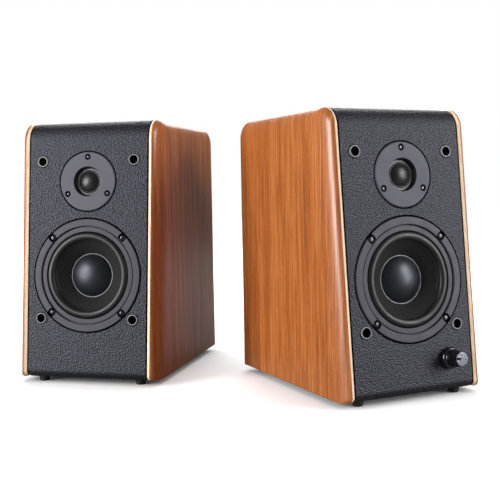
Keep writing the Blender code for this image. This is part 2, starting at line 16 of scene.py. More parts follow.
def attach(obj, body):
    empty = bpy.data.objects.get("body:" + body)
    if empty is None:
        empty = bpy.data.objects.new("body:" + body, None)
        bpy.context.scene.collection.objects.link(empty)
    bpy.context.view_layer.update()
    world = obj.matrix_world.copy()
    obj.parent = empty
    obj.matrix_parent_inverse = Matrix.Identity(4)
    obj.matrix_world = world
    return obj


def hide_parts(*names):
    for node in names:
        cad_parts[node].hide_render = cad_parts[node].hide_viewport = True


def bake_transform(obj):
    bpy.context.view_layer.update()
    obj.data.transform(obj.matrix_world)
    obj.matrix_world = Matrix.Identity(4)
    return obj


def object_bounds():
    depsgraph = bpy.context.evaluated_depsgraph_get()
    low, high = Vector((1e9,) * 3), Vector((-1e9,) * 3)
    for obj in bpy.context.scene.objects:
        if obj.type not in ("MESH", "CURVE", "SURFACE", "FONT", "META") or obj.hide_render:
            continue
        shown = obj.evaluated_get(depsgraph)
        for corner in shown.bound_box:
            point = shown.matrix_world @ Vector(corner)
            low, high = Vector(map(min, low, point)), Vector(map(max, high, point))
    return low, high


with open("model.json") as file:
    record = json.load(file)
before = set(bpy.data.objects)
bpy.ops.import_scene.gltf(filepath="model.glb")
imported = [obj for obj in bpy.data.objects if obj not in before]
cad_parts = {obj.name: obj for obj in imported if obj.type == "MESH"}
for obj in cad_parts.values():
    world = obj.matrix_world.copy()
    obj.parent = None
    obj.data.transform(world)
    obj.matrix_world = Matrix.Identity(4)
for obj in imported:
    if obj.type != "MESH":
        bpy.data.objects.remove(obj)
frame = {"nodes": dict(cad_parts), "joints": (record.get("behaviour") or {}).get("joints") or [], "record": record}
CAD_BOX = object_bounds()

MM = 0.001
UP = Vector((0, 0, 1))
SLOT_OF = {part["node"]: part["material_slot"] for part in frame["record"]["subparts"]}
BODIES = frame["record"]["behaviour"]["bodies"]
BODY_OF = {node: body for body, nodes in BODIES.items() for node in nodes}
JOINTS = {joint["name"]: joint for joint in frame["joints"]}

FINE = 96                     # steps round a large turned piece
MEDIUM = 64
SMALL = 40
RIM_STEPS = 3
SHARP_FROM = 32               # degrees between faces from which an edge is shaded sharp,
BEVEL_FROM = 50               # and from which it is bevelled on pieces that have a bevel

# Cabinet
BOARD_THICKNESS = 12
BAFFLE_THICKNESS = 15
PANEL_THICKNESS = 10.8
PANEL_PROUD = 0.8             # how far the side panels stand in front of the shell
ROLL_ACROSS = 8.4             # a panel's outer face rolls over this much of its thickness,
ROLL_BACK = 24.0              # from this far behind the front
ROLL_DOWN = 13.0              # and from this far below the top
LIP_FALL = 1.0                # slope of the strip on a panel's inner front edge, painted pale as a highlight
FRONT_TOP_RADIUS = 20
REAR_TOP_RADIUS = 15
FRONT_FOOT_RADIUS = 8
PANEL_FOOT_RADIUS = 6
REAR_LIP = 22
GROOVE_WIDTH = 1.6            # shadow groove between the leatherette and each side panel
GROOVE_DEPTH = 4.0
CORE_GAP = 0.2                # the shell's core stops this short of a side panel
RING_PROUD = 1.0              # the woofer's trim ring stands this far out of the baffle
BACK_INSET = 3

# Holes in the baffle, as a radius, or as a radius and a floor's height
WOOFER_HOLE = 47.5
WOOFER_RECESS = (57.4, -4.1)
TWEETER_HOLE = 22
TWEETER_RECESS = (30.7, -3.1)
SOCKET_HOLE = (4.7, -11)
SOCKET_RECESS = (6.1, -0.5)
SHAFT_HOLE = 4
PORT_HOLE = 19.3
ABOVE = 5                     # a cutter ends this far above the baffle

# Places that no node of its own marks
SOCKET_SPOTS = [(x, up) for x in (-48.7, 48.7) for up in (59.8, 216.8)]
WOOFER_SCREWS = (52.4, (45, 135, 225, 315))
TWEETER_SCREWS = (24.4, (90, 210, 330))
SCREW_FLOOR = -1.2            # floor of the recess that a driver's screw stands in
SCREW_SEAT = SCREW_FLOOR + 0.1
ROCKER_TILT = 8               # degrees, at rest

GRAIN_START = {"active": 0.17, "passive": 0.59}     # where each pair of panels is cut, in metres
GRAIN_BETWEEN = 0.31                                # and how far one panel is from the other


# ---------------------------------------------------------------- materials

class Finish:
    """A Principled material, with short ways to add nodes and join them to its shader."""

    def __init__(self, name, roughness=0.5, metallic=0.0, **constants):
        self.material = bpy.data.materials.new(name)
        self.material.use_nodes = True
        self.nodes = self.material.node_tree.nodes
        self.links = self.material.node_tree.links
        self.shader = self.nodes["Principled BSDF"]
        self.shader.inputs["Roughness"].default_value = roughness
        self.shader.inputs["Metallic"].default_value = metallic
        for socket, value in constants.items():
            self.feed(self.shader.inputs[socket.replace("_", " ")], value)
        self.where = self.nodes.new("ShaderNodeTexCoord").outputs["Object"]

    def feed(self, socket, value):
        """Link a value to an input, or set it there when it is a constant."""
        if isinstance(value, bpy.types.NodeSocket):
            self.links.new(value, socket)
        elif socket.type == "RGBA":
            socket.default_value = (*value, 1)
        else:
            socket.default_value = value

    def add(self, kind, inputs, **settings):
        node = self.nodes.new("ShaderNode" + kind)
        for setting, value in settings.items():
            setattr(node, setting, value)
        for socket, value in inputs.items():
            self.feed(node.inputs[socket], value)
        return node

    def scaled(self, sizes, source=None):
        """Coordinates in units of a size in millimetres, or of three sizes."""
        sizes = (sizes,) * 3 if isinstance(sizes, (int, float)) else sizes
        scale = [1 / (size * MM) for size in sizes]
        inputs = {"Vector": source or self.where, "Scale": scale}
        return self.add("Mapping", inputs).outputs["Vector"]

    def noise(self, sizes, detail=3.0, roughness=0.55, distortion=0.0, source=None):
        inputs = {"Vector": self.scaled(sizes, source), "Scale": 1.0, "Detail": detail,
                  "Roughness": roughness, "Distortion": distortion}
        return self.add("TexNoise", inputs).outputs["Fac"]

    def cells(self, sizes, **settings):
        inputs = {"Vector": self.scaled(sizes), "Scale": 1.0}
        return self.add("TexVoronoi", inputs, **settings)

    def maths(self, operation, a, b=0.0, c=0.0):
        return self.add("Math", {0: a, 1: b, 2: c}, operation=operation).outputs[0]

    def weighed(self, *shares):
        """Sum of values, each times its weight."""
        total = 0.0
        for value, weight in reversed(shares):
            total = self.maths("MULTIPLY_ADD", value, weight, total)
        return total

    def spread(self, value, low, high, to_low, to_high):
        inputs = {"Value": value, "From Min": low, "From Max": high,
                  "To Min": to_low, "To Max": to_high}
        return self.add("MapRange", inputs).outputs["Result"]

    def ramp(self, value, stops):
        node = self.add("ValToRGB", {"Fac": value})
        elements = node.color_ramp.elements
        while len(elements) < len(stops):
            elements.new(0.5)
        for element, (position, colour) in zip(elements, stops):
            element.position = position
            element.color = (*colour, 1)
        return node.outputs["Color"]

    def mix(self, share, a, b):
        """Colour a where the share is 0, b where it is 1. Sockets 6, 7 and 2 are the colours."""
        return self.add("Mix", {"Factor": share, 6: a, 7: b}, data_type="RGBA").outputs[2]

    def paint(self, value, stops):
        self.join("Base Color", self.ramp(value, stops))

    def join(self, socket, value):
        self.links.new(value, self.shader.inputs[socket])

    def bump(self, height, depth):
        """Height from 0 to 1 stands for a depth in millimetres."""
        inputs = {"Height": height, "Distance": depth * MM, "Strength": 1.0}
        self.join("Normal", self.add("Bump", inputs).outputs["Normal"])


def tinted(colour, factor):
    return tuple(min(1.0, part * factor) for part in colour)


def moulded(name, colour, roughness, grain=0.5, depth=0.02, contrast=0.18, **constants):
    """Moulded or coated surface: a fine grain in its height, tone and gloss."""
    finish = Finish(name, roughness, **constants)
    fine = finish.noise(grain, 3.0, 0.6)
    wide = finish.noise(14, 2.0)
    tone = finish.weighed((wide, 0.35), (fine, 0.65))
    stops = [(0.36, tinted(colour, 1 - contrast)), (0.64, tinted(colour, 1 + contrast))]
    finish.paint(tone, stops)
    finish.join("Roughness", finish.spread(wide, 0.3, 0.7, roughness - 0.05, roughness + 0.07))
    finish.bump(fine, depth)
    return finish.material


def leatherette():
    """Vinyl cloth with a fine pebbled grain, stretched over the boards."""
    finish = Finish("leatherette", 0.4, Specular_IOR_Level=0.65,
                    Specular_Tint=(0.84, 0.84, 1.0))
    pebbles = finish.cells((1.5, 1.35, 1.5)).outputs["Distance"]
    clumps = finish.noise(1.7, 2.0)
    height = finish.maths("MULTIPLY_ADD", clumps, 0.25, finish.maths("SUBTRACT", 1.0, pebbles))
    # The colour is darkest down between the pebbles: painted shade in the furrows.
    stops = [(0.50, (0.001, 0.001, 0.0015)), (1.0, (0.012, 0.012, 0.016))]
    finish.paint(height, stops)
    finish.join("Roughness", finish.spread(height, 0.5, 1.0, 0.58, 0.35))
    finish.bump(height, 0.46)
    return finish.material


def veneer(name, dark, middle, light, roughness, coat):
    """Straight-grained veneer. The mesh's grain attribute runs across, then along the grain."""
    finish = Finish(name, roughness, Specular_IOR_Level=0.35, Coat_Weight=coat, Coat_Roughness=0.24)
    grain = finish.add("Attribute", {}, attribute_name="grain").outputs["Vector"]
    streaks = finish.noise((2.2, 130, 1000), 4.0, 0.6, 0.3, grain)
    bands = finish.noise((11, 240, 1000), 2.0, 0.5, 0.5, grain)
    fibres = finish.noise((0.7, 34, 1000), 3.0, 0.6, 0.1, grain)
    pores = finish.noise((0.35, 6, 1000), 2.0, 0.5, 0.0, grain)
    tone = finish.weighed((fibres, 0.38), (bands, 0.24), (streaks, 0.38))
    colour = finish.ramp(tone, [(0.40, dark), (0.50, middle), (0.60, light)])
    elsewhere = finish.add("VectorMath", {0: grain, 1: (0.4, 0.1, 0)}, operation="ADD")
    lines = finish.noise((1.3, 170, 1000), 3.0, 0.6, 0.5, elsewhere.outputs["Vector"])
    late_wood = finish.spread(lines, 0.56, 0.66, 0.0, 0.65)
    colour = finish.mix(late_wood, colour, tinted(dark, 0.85))
    open_pore = finish.spread(pores, 0.57, 0.70, 0.0, 0.50)
    finish.join("Base Color", finish.mix(open_pore, colour, tinted(dark, 0.6)))
    gloss = (roughness + 0.07, roughness - 0.05)
    finish.join("Roughness", finish.spread(streaks, 0.35, 0.65, *gloss))
    finish.bump(finish.weighed((pores, -0.5), (fibres, 1.0)), 0.03)
    return finish.material


def woven(name, colour, thread, roughness):
    """Cloth of crossing threads, for the spider and the silk dome."""
    finish = Finish(name, roughness, Sheen_Weight=0.1, Sheen_Roughness=0.5)
    waves = []
    for direction in ("X", "Y"):
        inputs = {"Vector": finish.scaled(thread), "Scale": 0.5, "Distortion": 0.4, "Detail": 1.0}
        waves.append(finish.add("TexWave", inputs, bands_direction=direction).outputs["Fac"])
    weave = finish.maths("MAXIMUM", *waves)
    soil = finish.noise(4.0, 3.0)
    tone = finish.weighed((soil, 0.4), (weave, 0.6))
    stops = [(0.2, tinted(colour, 0.6)), (0.85, tinted(colour, 1.3))]
    finish.paint(tone, stops)
    finish.bump(weave, 0.015)
    return finish.material


def pulp():
    """Pressed paper cone: short fibres and a dull surface."""
    finish = Finish("cone_paper", 0.82, Specular_IOR_Level=0.35)
    fibres = finish.noise((0.35, 0.35, 1.6), 4.0, 0.7, 1.2)
    clumps = finish.noise(2.6, 3.0)
    tone = finish.weighed((clumps, 0.5), (fibres, 0.5))
    stops = [(0.35, (0.004, 0.004, 0.0045)), (0.65, (0.013, 0.0125, 0.013))]
    finish.paint(tone, stops)
    finish.join("Roughness", finish.spread(fibres, 0.3, 0.7, 0.9, 0.74))
    finish.bump(fibres, 0.08)
    return finish.material


def brushed(name, colour, roughness, sizes=(0.15, 9, 9)):
    """Metal with fine lines along two of its local axes."""
    finish = Finish(name, roughness, 1.0)
    lines = finish.noise(sizes, 4.0, 0.6)
    spots = finish.noise(5.0, 2.0)
    tone = finish.weighed((spots, 0.4), (lines, 0.6))
    stops = [(0.3, tinted(colour, 0.78)), (0.7, tinted(colour, 1.18))]
    finish.paint(tone, stops)
    finish.join("Roughness", finish.spread(lines, 0.3, 0.7, roughness - 0.07, roughness + 0.1))
    finish.bump(lines, 0.008)
    return finish.material


def sparkling(name, colour, roughness):
    """Fine cast metal face whose small facets differ at random in tone and gloss; the lightest facets stand in for
    glints, a painted highlight.
    """
    finish = Finish(name, roughness, 0.85)
    facets = finish.cells(0.55).outputs["Color"]
    level = finish.add("SeparateColor", {"Color": facets}).outputs["Red"]
    stops = [(0.1, tinted(colour, 0.55)), (0.9, tinted(colour, 1.5))]
    finish.paint(level, stops)
    finish.join("Roughness", finish.spread(level, 0.0, 1.0, roughness + 0.12, roughness - 0.12))
    finish.bump(level, 0.05)
    return finish.material


def wound():
    """Enamelled wire, turn on turn along the local Z axis."""
    finish = Finish("copper", 0.32, 0.9)
    inputs = {"Vector": finish.scaled(0.5), "Scale": 0.5}
    turns = finish.add("TexWave", inputs, bands_direction="Z").outputs["Fac"]
    patina = finish.noise(3.0, 3.0)
    tone = finish.weighed((patina, 0.5), (turns, 0.5))
    stops = [(0.25, (0.38, 0.13, 0.05)), (0.75, (0.86, 0.42, 0.20))]
    finish.paint(tone, stops)
    finish.bump(turns, 0.12)
    return finish.material


def solder_mask():
    """Green circuit board with paler tracks under the lacquer."""
    finish = Finish("circuit_board", 0.35, Coat_Weight=0.4, Coat_Roughness=0.2)
    tracks = finish.cells(3.2, distance="MANHATTAN").outputs["Distance"]
    edge = finish.maths("PINGPONG", tracks, 0.22)
    pale = finish.noise(6.0, 2.0)
    tone = finish.weighed((pale, 0.3), (edge, 3.0))
    stops = [(0.30, (0.012, 0.085, 0.030)), (0.55, (0.030, 0.20, 0.075))]
    finish.paint(tone, stops)
    finish.bump(edge, 0.05)
    return finish.material


WOOD = veneer("veneer", (0.24, 0.060, 0.010), (0.42, 0.120, 0.023), (0.60, 0.214, 0.062),
              0.42, 0.55)
# Pale veneer for the inner lip of each side panel: a painted highlight along the inner front edge.
WOOD_EDGE_HIGHLIGHT = veneer("veneer_edge_highlight", (0.82, 0.60, 0.38), (0.91, 0.73, 0.53), (0.95, 0.82, 0.66),
                   0.36, 0.1)
LEATHERETTE = leatherette()
PAINTED_BOARD = moulded("painted_board", (0.018, 0.018, 0.019), 0.7, 1.1, 0.10)
RUBBER = moulded("rubber", (0.012, 0.012, 0.012), 0.78, 0.6, 0.05)
SATIN = moulded("satin_plastic", (0.102, 0.100, 0.125), 0.55, 0.35, 0.012, 0.08,
                Specular_IOR_Level=0.25)
RING = moulded("ring_plastic", (0.062, 0.060, 0.076), 0.50, 0.35, 0.012, 0.08,
               Specular_IOR_Level=0.3)
BUTYL = moulded("soft_rubber", (0.007, 0.007, 0.008), 0.44, 0.5, 0.02)
PAPER = pulp()
CAP = moulded("dust_cap", (0.004, 0.005, 0.007), 0.40, 0.4, 0.010, 0.12, Specular_IOR_Level=0.65,
              Specular_Tint=(0.82, 0.88, 1.0))
# Light grey of the cap's bead, the tweeter's ring and the socket rims, made lighter to stand in for their rim
# highlights: their own grey and a painted highlight.
PALE_BEAD_AND_HIGHLIGHT = moulded("bead", (0.24, 0.24, 0.26), 0.34, 0.3, 0.01, 0.08)
BLACK = moulded("black_plastic", (0.008, 0.008, 0.009), 0.40, 0.5, 0.03)
RED = moulded("red_plastic", (0.50, 0.018, 0.014), 0.38, 0.5, 0.02)
WHITE = moulded("white_plastic", (0.78, 0.77, 0.74), 0.40, 0.5, 0.02, 0.06)
GLOSS = moulded("gloss_plastic", (0.004, 0.004, 0.005), 0.12, 0.8, 0.002,
                Coat_Weight=0.6, Coat_Roughness=0.05)
POWDER = moulded("painted_metal", (0.018, 0.018, 0.020), 0.5, 0.35, 0.05)
# Near-black for hole walls, groove floors, socket cups and screw recesses: painted shade where these lie in
# shadow. On the volume knob it is the dark pointer mark.
PAINTED_SHADE_AND_MARK = moulded("painted_shade_and_mark", (0.003, 0.003, 0.003), 0.9, 0.5, 0.02, Specular_IOR_Level=0.15)
SCREW_BLACK = brushed("blackened_steel", (0.085, 0.085, 0.095), 0.20, (0.5, 0.5, 0.5))
ZINC = brushed("zinced_steel", (0.52, 0.52, 0.53), 0.36)
NICKEL = brushed("nickel", (0.66, 0.64, 0.58), 0.22, (0.4, 0.4, 0.1))
FERRITE = moulded("ferrite", (0.050, 0.050, 0.052), 0.62, 0.9, 0.06)
SILK = woven("dome_silk", (0.006, 0.006, 0.007), 0.35, 0.34)
SPIDER_CLOTH = woven("spider_cloth", (0.46, 0.33, 0.14), 0.6, 0.75)
KNOB_FACE = sparkling("knob_face", (0.13, 0.13, 0.155), 0.42)
COPPER = wound()
BOARD = solder_mask()


# ---------------------------------------------------------------- meshes

def rounded(corners, segments=6):
    """Points round a polygon whose corners are (x, y, radius)."""
    points = []
    for i, (x, y, radius) in enumerate(corners):
        corner = Vector((x, y))
        if radius <= 0:
            points.append((x, y))
            continue
        to_last = (Vector(corners[i - 1][:2]) - corner).normalized()
        to_next = (Vector(corners[(i + 1) % len(corners)][:2]) - corner).normalized()
        half_angle = to_last.angle(to_next) / 2
        centre = corner + (to_last + to_next).normalized() * radius / math.sin(half_angle)
        first = corner + to_last * radius / math.tan(half_angle) - centre
        last = corner + to_next * radius / math.tan(half_angle) - centre
        start = math.atan2(first.y, first.x)
        turn = (math.atan2(last.y, last.x) - start + math.pi) % math.tau - math.pi
        for step in range(segments + 1):
            angle = start + turn * step / segments
            points += arc(centre, radius, radius, [angle])
    return points


def rectangle(width, height, radius, centre=(0, 0)):
    x, y = centre
    w, h = width / 2, height / 2
    corners = [(x - w, y - h), (x + w, y - h), (x + w, y + h), (x - w, y + h)]
    return rounded([(*corner, radius) for corner in corners])


def arc(centre, across, up, angles):
    """Points at angles on an ellipse with two half-axes."""
    return [(centre[0] + across * math.cos(a), centre[1] + up * math.sin(a)) for a in angles]


def circle(radius, centre=(0, 0), steps=SMALL):
    return arc(centre, radius, radius, [math.tau * i / steps for i in range(steps)])


def to_mesh(bm):
    bmesh.ops.recalc_face_normals(bm, faces=bm.faces)
    mesh = bpy.data.meshes.new("piece")
    bm.to_mesh(mesh)
    bm.free()
    return mesh


def lathe(profile, steps=FINE, fillet_segments=4):
    """Turned mesh from the half-section's corners, (radius, height) or (radius, height, fillet)."""
    points = rounded([(*corner, 0)[:3] for corner in profile], fillet_segments)
    bm = bmesh.new()
    rings = []
    for radius, height in points:
        count = steps if radius > 0.001 else 1
        angles = [math.tau * i / steps for i in range(count)]
        outline = arc((0, 0), radius * MM, radius * MM, angles)
        rings.append([bm.verts.new((x, y, height * MM)) for x, y in outline])
    for one, other in zip(rings, rings[1:] + rings[:1]):
        for i in range(steps):
            j = (i + 1) % steps
            corners = [one[i % len(one)], one[j % len(one)],
                       other[j % len(other)], other[i % len(other)]]
            corners = list(dict.fromkeys(corners))
            if len(corners) > 2:
                bm.faces.new(corners)
    return to_mesh(bm)


def loft(levels):
    """Closed mesh through (outline, height) levels of equally many points, capped at both ends."""
    bm = bmesh.new()
    rings = [[bm.verts.new((x * MM, y * MM, height * MM)) for x, y in outline]
             for outline, height in levels]
    for one, other in zip(rings, rings[1:]):
        for i in range(len(one)):
            j = (i + 1) % len(one)
            bm.faces.new((one[i], one[j], other[j], other[i]))
    bm.faces.new(rings[0])
    bm.faces.new(rings[-1])
    return to_mesh(bm)


def block(width, height, radius, low, high, edge=0.4, centre=(0, 0)):
    """Flat piece between two heights, with rounded corners and rims."""
    levels = []
    for step in range(RIM_STEPS + 1):
        angle = math.pi / 2 * step / RIM_STEPS
        inset = edge * (1 - math.sin(angle))
        sides = (width - 2 * inset, height - 2 * inset)
        outline = rectangle(*sides, max(radius - inset, 0.15), centre)
        levels.append((outline, edge * (1 - math.cos(angle))))
    below = [(outline, low + rise) for outline, rise in levels]
    above = [(outline, high - rise) for outline, rise in reversed(levels)]
    return loft(below + above)


def drum(radius, low, high, centre=(0, 0), steps=SMALL):
    """Plain cylinder to cut with."""
    outline = circle(radius, centre, steps)
    return loft([(outline, low), (outline, high)])


def carve(mesh, tools, operation="DIFFERENCE"):
    """The mesh after a Boolean with each tool, all in the same local frame."""
    scene = bpy.context.scene.collection
    work = bpy.data.objects.new("work", mesh)
    scene.objects.link(work)
    helpers = []
    for tool in tools:
        helper = bpy.data.objects.new("tool", tool)
        scene.objects.link(helper)
        helpers.append(helper)
        modifier = work.modifiers.new("cut", "BOOLEAN")
        modifier.operation = operation
        modifier.solver = "EXACT"
        modifier.object = helper
    bpy.context.view_layer.update()
    evaluated = work.evaluated_get(bpy.context.evaluated_depsgraph_get())
    result = bpy.data.meshes.new_from_object(evaluated)
    for used in [work, *helpers]:
        data = used.data
        bpy.data.objects.remove(used, do_unlink=True)
        bpy.data.meshes.remove(data)
    return result


def joined(meshes_and_places):
    """One mesh from several, each moved by its matrix."""
    bm = bmesh.new()
    for mesh, matrix in meshes_and_places:
        copy = mesh.copy()
        copy.transform(matrix)
        bm.from_mesh(copy)
        bpy.data.meshes.remove(copy)
    return to_mesh(bm)


def copies(mesh, places):
    """Copies of a mesh, one moved by each matrix."""
    result = [mesh.copy() for _ in places]
    for copy, place in zip(result, places):
        copy.transform(place)
    return result


def mark(mesh, chosen, material_index=1):
    """Another material for the faces that a test chooses by their middle, in millimetres."""
    for face in mesh.polygons:
        if chosen(face.center / MM):
            face.material_index = material_index


def on_level(height):
    """Test for faces that lie flat at a height."""
    return lambda middle: abs(middle.z - height) < 0.05


def at(x, y, z=0.0, turn=0.0):
    """Move by millimetres, after a turn about local Z in degrees."""
    moved = Matrix.Translation((x * MM, y * MM, z * MM))
    return moved @ Matrix.Rotation(math.radians(turn), 4, "Z")


def ring_of(radius, angles):
    """Places round a circle at angles in degrees, turned to face outwards."""
    return [at(0, 0, 0, angle) @ at(radius, 0) for angle in angles]


# ---------------------------------------------------------------- pieces

def new_object(name, mesh, place, materials, bevel=0.0):
    chosen = [face.material_index for face in mesh.polygons]
    mesh.materials.clear()
    for material in materials:
        mesh.materials.append(material)
    mesh.polygons.foreach_set("material_index", chosen)
    piece = bpy.data.objects.new(name, mesh)
    piece.matrix_world = place
    bpy.context.scene.collection.objects.link(piece)
    mesh.shade_smooth()
    mesh.set_sharp_from_angle(angle=math.radians(SHARP_FROM))
    if bevel:
        modifier = piece.modifiers.new("Softened edges", "BEVEL")
        modifier.width = bevel * MM
        modifier.segments = 2
        modifier.limit_method = "ANGLE"
        modifier.angle_limit = math.radians(BEVEL_FROM)
    modifier = piece.modifiers.new("Flat faces stay flat", "WEIGHTED_NORMAL")
    modifier.keep_sharp = True
    return piece


def finish_node(node, material):
    """Another material for a CAD node that is shown as it is."""
    shown = frame["nodes"][node]
    shown.data.materials.clear()
    shown.data.materials.append(material)


def screw_mesh(head_radius, head_height, slot_size):
    """Pan-head screw with a cross recess. Its seat is at height 0."""
    r, h = head_radius, head_height
    head = lathe([(0, h), (r * 0.55, h, r * 0.5), (r, h * 0.35, r * 0.25), (r, 0), (r * 0.45, 0),
                  (r * 0.45, -3), (0, -3)], SMALL)
    arm = loft([(rectangle(slot_size * 0.6, slot_size * 0.16, 0.05), h - slot_size * 0.45),
                (rectangle(slot_size * 1.1, slot_size * 0.26, 0.08), h + 1)])
    return carve(head, copies(arm, [at(0, 0), at(0, 0, 0, 90)]))


DRIVER_SCREW = screw_mesh(2.9, 1.5, 2.6)
TWEETER_SCREW = screw_mesh(2.1, 1.1, 1.9)
REAR_SCREW = screw_mesh(2.7, 1.5, 2.4)


class Speaker:
    """The local frames of one speaker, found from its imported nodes."""

    def __init__(self, who):
        self.who = who
        self.body = who + "_cabinet"
        out = Vector(JOINTS[who + "_woofer_excursion"]["axis"]).normalized()
        across = UP.cross(out).normalized()
        back = UP.cross(across)
        self.lean = math.asin(out.z)
        sides = [self.node("left_side_panel"), self.node("right_side_panel")]
        left, right = self.reach(sides, across)
        self.foot, self.top = (edge / MM for edge in self.reach(sides, UP))
        plane = self.reach([self.node("woofer_trim_ring")], out)[1] - RING_PROUD * MM
        front = (math.sin(self.lean) * self.foot * MM - plane) / math.cos(self.lean)
        rear = self.reach(sides, back)[1]
        self.width = (right - left) / MM
        self.depth = (rear - front) / MM
        origin = across * (left + right) / 2 + back * front
        self.cabinet = self.basis(across, back, UP, origin)
        self.baffle = self.basis(across, out.cross(across), out, origin + UP * self.foot * MM)
        self.sideways = self.basis(back, UP, across, origin)
        self.rear = self.basis(-across, UP, back, origin + back * (rear - front - BACK_INSET * MM))

    @staticmethod
    def basis(x, y, z, origin):
        matrix = Matrix((x, y, z)).transposed().to_4x4()
        matrix.translation = origin
        return matrix

    @staticmethod
    def reach(nodes, direction):
        """Lowest and highest extent of some nodes along a direction."""
        along = [vertex.co.dot(direction)
                 for node in nodes for vertex in frame["nodes"][node].data.vertices]
        return min(along), max(along)

    def node(self, part):
        return f"{self.who}_{part}"

    def box(self, part, local):
        """Middle and size of a node in a local frame, in millimetres."""
        inverse = local.inverted()
        vertices = frame["nodes"][self.node(part)].data.vertices
        points = np.array([inverse @ v.co for v in vertices]) / MM
        low, high = points.min(0), points.max(0)
        return (low + high) / 2, high - low

    def axis(self, part, local):
        """The local frame moved sideways to the middle of a node."""
        middle, _ = self.box(part, local)
        return local @ at(middle[0], middle[1])

    def rear_axis(self, part):
        return self.axis(part, self.rear)

    def front_line(self, z, out):
        """(y, z) at a height, on the plane that lies out from the baffle plane."""
        up = (z - self.foot - out * math.sin(self.lean)) / math.cos(self.lean)
        y = up * math.sin(self.lean) - out * math.cos(self.lean)
        return y, z

    def fine(self, part, mesh, place, *materials, bevel=0.0):
        """A fine piece that is shown instead of a CAD node, on its body."""
        node = self.node(part)
        piece = new_object(node + "_fine", mesh, place, materials, bevel)
        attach(piece, BODY_OF[node])
        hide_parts(node)

    def extra(self, part, mesh, place, slot, *materials, body=None):
        """A small piece that the CAD model leaves out."""
        piece = new_object(self.node(part), mesh, place, materials)
        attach(piece, body or self.body)


def screws(speaker, part, mesh, places):
    """A group of identical screws, each turned a little differently."""
    turned = [(mesh, place @ Matrix.Rotation(1.1 * number, 4, "Z"))
              for number, place in enumerate(places)]
    speaker.extra(part, joined(turned), Matrix.Identity(4), "zinced_steel", SCREW_BLACK)


def side_screws(speaker, plate, here, size, margins, rows, seat=0.0):
    """Screws down both sides of a plate, in rows from -1, its foot, to 1, its top."""
    x, y = size[0] / 2 - margins[0], size[1] / 2 - margins[1]
    places = [here @ at(side * x, row * y, seat) for side in (-1, 1) for row in rows]
    screws(speaker, plate + "_screws", REAR_SCREW, places)


def shell_outline(speaker, inset):
    """Section through baffle, top and bottom. An inset thins them, mostly from outside."""
    top = speaker.top - PANEL_PROUD - inset
    foot = speaker.foot + inset
    rear = speaker.depth - inset
    board = BOARD_THICKNESS - 1.3 * inset
    behind = 0.3 * inset - BAFFLE_THICKNESS
    return rounded([
        (rear, foot, 1),
        (*speaker.front_line(foot, -inset), FRONT_FOOT_RADIUS - inset),
        (*speaker.front_line(top, -inset), FRONT_TOP_RADIUS - inset),
        (rear, top, REAR_TOP_RADIUS - inset),
        (rear, top - REAR_LIP, 0),
        (rear - board, top - REAR_LIP, 0),
        (rear - board, top - board, 0),
        (*speaker.front_line(top - board, behind), 0),
        (*speaker.front_line(foot + board, behind), 0),
        (rear, foot + board, 0),
    ], 12)


def shell(speaker, with_knob):
    """Baffle, top and bottom, covered in leatherette, with its holes."""
    outer = speaker.width / 2 - PANEL_THICKNESS
    covered = outer - GROOVE_WIDTH
    skin = shell_outline(speaker, 0)
    core = shell_outline(speaker, GROOVE_DEPTH)
    half = [(skin, covered), (core, covered), (core, outer - CORE_GAP)]
    mesh = loft([(outline, -z) for outline, z in reversed(half)] + half)
    # Faces down in the shadow groove get the near-black material: painted shade.
    mark(mesh, lambda middle: abs(middle.z) > covered + 0.1)
    woofer, _ = speaker.box("woofer_trim_ring", speaker.baffle)
    tweeter, _ = speaker.box("tweeter_faceplate", speaker.baffle)
    through = -BAFFLE_THICKNESS - ABOVE
    cuts = [
        drum(*WOOFER_RECESS, ABOVE, woofer[:2], FINE),
        drum(WOOFER_HOLE, through, ABOVE, woofer[:2], FINE),
        drum(*TWEETER_RECESS, ABOVE, tweeter[:2], FINE),
        drum(TWEETER_HOLE, through, ABOVE, tweeter[:2], FINE),
    ]
    for hole in (SOCKET_HOLE, SOCKET_RECESS):
        cuts += [drum(*hole, ABOVE, spot) for spot in SOCKET_SPOTS]
    if with_knob:
        knob, _ = speaker.box("volume_knob", speaker.baffle)
        cuts.append(drum(SHAFT_HOLE, through, ABOVE, knob[:2]))
    to_outline = speaker.sideways.inverted() @ speaker.baffle
    for cut in cuts:
        cut.transform(to_outline)
        # The walls of every hole get the near-black material: painted shade inside the holes.
        cut.polygons.foreach_set("material_index", [1] * len(cut.polygons))
    mesh = carve(mesh, cuts)
    speaker.fine("cabinet_shell", mesh, speaker.sideways, LEATHERETTE, PAINTED_SHADE_AND_MARK, bevel=0.5)


def panel_outline(speaker, front, top, rear, bottom):
    """Side panel's outline, with each edge set in by its own amount."""
    out = PANEL_PROUD - front
    low = speaker.foot + bottom
    high = speaker.top - top
    return rounded([
        (speaker.depth - rear, low, 1.0),
        (*speaker.front_line(low, out), max(PANEL_FOOT_RADIUS - front * 0.5, 1.5)),
        (*speaker.front_line(high, out), FRONT_TOP_RADIUS - (front + top) / 2),
        (speaker.depth - rear, high, REAR_TOP_RADIUS - (rear + top) / 2),
    ], 12)


def quarter(across, back, depth):
    """How far an elliptical edge is set in at a depth from the outer face."""
    if depth >= across:
        return 0.0
    return back * (1 - math.sqrt(1 - (1 - depth / across) ** 2))


